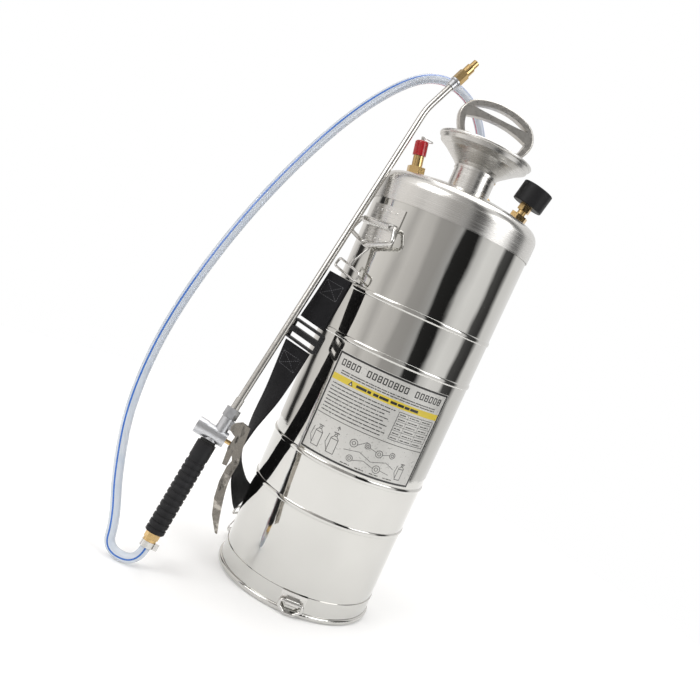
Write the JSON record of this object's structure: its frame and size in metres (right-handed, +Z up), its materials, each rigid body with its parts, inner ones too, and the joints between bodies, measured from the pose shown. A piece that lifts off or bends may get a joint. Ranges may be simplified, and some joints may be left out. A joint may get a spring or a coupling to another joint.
{
  "type": "pump sprayer",
  "caption": "Hand-pumped compression sprayer: steel tank with filler funnel, pump handle, gauge, relief valve, carrying strap, hose and trigger wand leaning on it.",
  "frame": {"origin": "centre of the tank's foot, on the floor", "axes": "+Z up along the tank's axis, the label faces -Y, the gauge is on the +X side"},
  "size_m": [0.3515, 0.2597, 0.6728],
  "materials": {
    "mirror_steel": "mirror-polished stainless steel",
    "satin_steel": "satin stainless steel",
    "cast_aluminium": "satin cast aluminium",
    "brass": "machined brass",
    "nickel": "nickel-plated steel",
    "zinc": "dull zinc die casting",
    "wire_steel": "bright steel wire",
    "copper": "copper-coloured rivet",
    "red_plastic": "red moulded knob",
    "black_plastic": "black moulded plastic",
    "black_webbing": "black woven webbing",
    "rubber": "black rubber",
    "clear_hose": "clear bluish PVC hose",
    "dip_plastic": "white polyethylene",
    "glass": "clear window",
    "label": "printed foil label",
    "spring_steel": "spring wire"
  },
  "bodies": {
    "tank": {"tank_shell": "mirror_steel", "tank_bottom": "satin_steel", "base_ring": "mirror_steel", "top_dome": "satin_steel", "neck_collar": "satin_steel", "filler_funnel": "satin_steel", "label_plate": "label", "upper_bracket": "satin_steel", "lower_brackets": "satin_steel", "strap_lower": "black_webbing", "strap_slider": "black_plastic", "relief_body": "brass", "gauge_bush": "brass", "gauge_case": "black_plastic", "gauge_dial": "label", "gauge_lens": "glass", "gauge_movement": "brass", "outlet_bush": "brass", "outlet_elbow": "brass", "outlet_clamp": "wire_steel", "dip_tube": "dip_plastic", "hose": "clear_hose"},
    "relief_pull": {"relief_stem": "wire_steel", "relief_knob": "red_plastic", "relief_spring": "spring_steel"},
    "relief_ring": {"pull_ring": "wire_steel"},
    "needle": {"gauge_needle": "black_plastic"},
    "pump_seal": {"cap_gasket": "rubber"},
    "pump_unit": {"pump_cap": "cast_aluminium", "pump_barrel": "satin_steel"},
    "check_disc": {"check_valve": "rubber"},
    "plunger": {"pump_rod": "satin_steel", "piston_cup": "rubber", "pump_handle": "cast_aluminium"},
    "upper_link": {"upper_ring": "wire_steel", "upper_hook": "wire_steel", "upper_eye": "wire_steel", "strap_upper": "black_webbing"},
    "upper_latch": {"upper_gate": "wire_steel"},
    "front_link": {"front_ring": "wire_steel"},
    "rear_link": {"rear_ring": "wire_steel", "rear_hook": "wire_steel", "rear_eye": "wire_steel"},
    "rear_latch": {"rear_gate": "wire_steel"},
    "wand": {"hose_barb": "brass", "wand_clamp": "wire_steel", "grip": "black_plastic", "grip_washer": "rubber", "valve_body": "zinc", "valve_cap": "zinc", "valve_spring": "spring_steel", "lance_nut": "zinc", "lance_tube": "satin_steel", "nozzle_nut": "zinc", "nozzle_body": "brass"},
    "lever": {"trigger_lever": "nickel", "lever_pins": "copper"},
    "stem": {"valve_stem": "brass"},
    "catch": {"lock_catch": "nickel"},
    "spray_cap": {"nozzle_cap": "brass"}
  },
  "joints": [
    {"name": "relief_lift", "type": "slide", "parent": "tank", "child": "relief_pull", "axis": [-0.1929, -0.0593, 0.9794], "range_m": [0, 0.003], "stiffness_N_per_m": 900, "springref_m": -0.003, "deforming": ["relief_spring"]},
    {"name": "relief_ring_swing", "type": "hinge", "parent": "relief_pull", "child": "relief_ring", "pos_m": [-0.07295, -0.02244, 0.56738], "axis": [0.2941, -0.9558, 0], "range_deg": [0, 140]},
    {"name": "gauge_sweep", "type": "hinge", "parent": "tank", "child": "needle", "pos_m": [0.07429, -0.02234, 0.56538], "axis": [-0.1973, 0.0593, -0.9785], "range_deg": [0, 270], "stiffness_Nm_per_rad": 0.001},
    {"name": "pump_lift", "type": "slide", "parent": "tank", "child": "pump_seal", "axis": [0, 0, 1], "range_m": [0, 0.47]},
    {"name": "pump_turn", "type": "hinge", "parent": "pump_seal", "child": "pump_unit", "pos_m": [0, 0, 0.565], "axis": [0, 0, 1], "range_deg": [0, 90]},
    {"name": "check_valve_lift", "type": "slide", "parent": "pump_unit", "child": "check_disc", "axis": [0, 0, -1], "range_m": [0, 0.0018], "stiffness_N_per_m": 60, "springref_m": -0.001},
    {"name": "pump_stroke", "type": "slide", "parent": "pump_unit", "child": "plunger", "axis": [0, 0, 1], "range_m": [0, 0.33]},
    {"name": "upper_ring_swing", "type": "hinge", "parent": "tank", "child": "upper_link", "pos_m": [-0.07741, -0.07094, 0.454], "axis": [-0.6756, 0.7373, 0], "range_deg": [-5, 1.5]},
    {"name": "upper_gate_open", "type": "hinge", "parent": "upper_link", "child": "upper_latch", "pos_m": [-0.08657, -0.07363, 0.40948], "axis": [-0.1634, 0.9849, 0.0577], "range_deg": [0, 18], "stiffness_Nm_per_rad": 0.02, "springref_deg": -11.46},
    {"name": "front_ring_swing", "type": "hinge", "parent": "tank", "child": "front_link", "pos_m": [0.01016, -0.10551, 0.017], "axis": [-0.9954, -0.0958, 0], "range_deg": [0, 150]},
    {"name": "rear_ring_swing", "type": "hinge", "parent": "tank", "child": "rear_link", "pos_m": [-0.09527, 0.04647, 0.017], "axis": [0.4384, 0.8988, 0], "range_deg": [-3, 3]},
    {"name": "rear_gate_open", "type": "hinge", "parent": "rear_link", "child": "rear_latch", "pos_m": [-0.10466, 0.04947, 0.02585], "axis": [0.2355, -0.9672, -0.0954], "range_deg": [0, 18], "stiffness_Nm_per_rad": 0.02, "springref_deg": -11.46},
    {"name": "wand_lean", "type": "hinge", "parent": "tank", "child": "wand", "pos_m": [-0.1634, -0.14598, 0.02574], "axis": [0.4619, -0.8799, 0.1117], "range_deg": [0, 10]},
    {"name": "trigger_squeeze", "type": "hinge", "parent": "wand", "child": "lever", "pos_m": [-0.12918, -0.11292, 0.18108], "axis": [-0.1461, 0.9737, -0.175], "range_deg": [0, 14], "stiffness_Nm_per_rad": 1.2, "springref_deg": -5.73},
    {"name": "valve_stem_push", "type": "slide", "parent": "wand", "child": "stem", "axis": [-0.9798, -0.1179, 0.1617], "range_m": [0, 0.0056], "deforming": ["valve_spring"]},
    {"name": "catch_swing", "type": "hinge", "parent": "lever", "child": "catch", "pos_m": [-0.12327, -0.11587, 0.15973], "axis": [-0.1461, 0.9737, -0.175], "range_deg": [-8, 8]},
    {"name": "nozzle_turn", "type": "hinge", "parent": "wand", "child": "spray_cap", "pos_m": [-0.05758, -0.01659, 0.65722], "axis": [0.3698, 0.2178, 0.9032], "range_deg": [0, 270]}
  ],
  "couplings": [
    {"joint": "valve_stem_push", "follows": "trigger_squeeze", "m_per_rad": 0.022}
  ]
}
